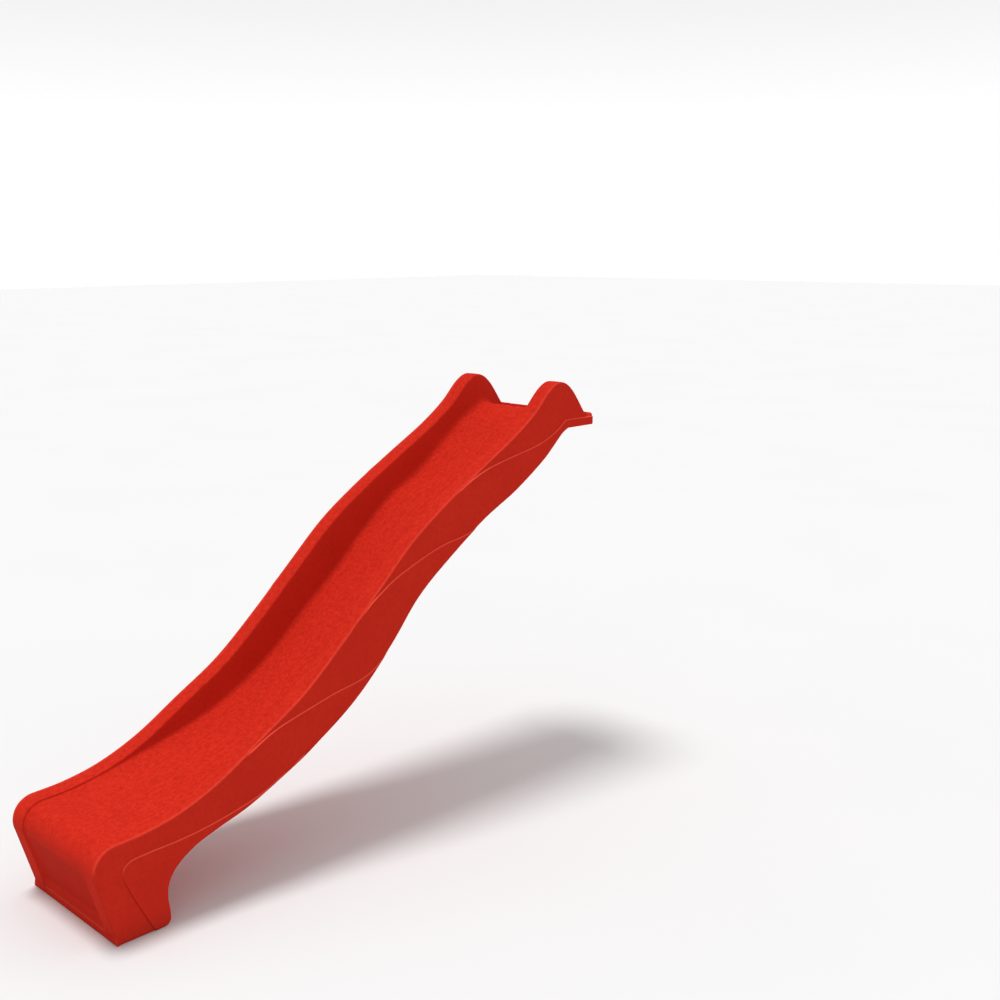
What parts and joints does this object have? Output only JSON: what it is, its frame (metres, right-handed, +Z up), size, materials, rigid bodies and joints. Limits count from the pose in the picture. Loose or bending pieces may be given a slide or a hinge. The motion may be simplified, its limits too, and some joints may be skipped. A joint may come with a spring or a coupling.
{
  "type": "wave slide",
  "caption": "Moulded plastic wave slide for a 1.5 m play platform, with a flat fixing lip, raised side rails and a square-fronted foot.",
  "frame": {"origin": "centre of the slide's plan outline, at ground level", "axes": "+Z up, +Y along the run towards the play platform, +X across the chute; the rider leaves towards -Y"},
  "size_m": [0.588, 2.4496, 1.684],
  "materials": {
    "moulded_red": "satin with a fine moulded grain",
    "cover_red": "satin",
    "plug_red": "matt",
    "zinc_steel": "zinc plated",
    "black_plastic": "satin",
    "seal_rubber": "matt"
  },
  "bodies": {
    "root": {"slide_body": "moulded_red", "screw_left": "zinc_steel", "screw_middle": "zinc_steel", "screw_right": "zinc_steel", "washer_left": "zinc_steel", "washer_middle": "zinc_steel", "washer_right": "zinc_steel", "screw_cover_left": "cover_red", "screw_cover_middle": "cover_red", "screw_cover_right": "cover_red", "mould_plug_left": "plug_red", "mould_plug_right": "plug_red", "water_spout": "black_plastic", "water_spout_seal": "seal_rubber", "water_inlet_nut": "black_plastic", "hose_nipple": "black_plastic"}
  },
  "joints": []
}
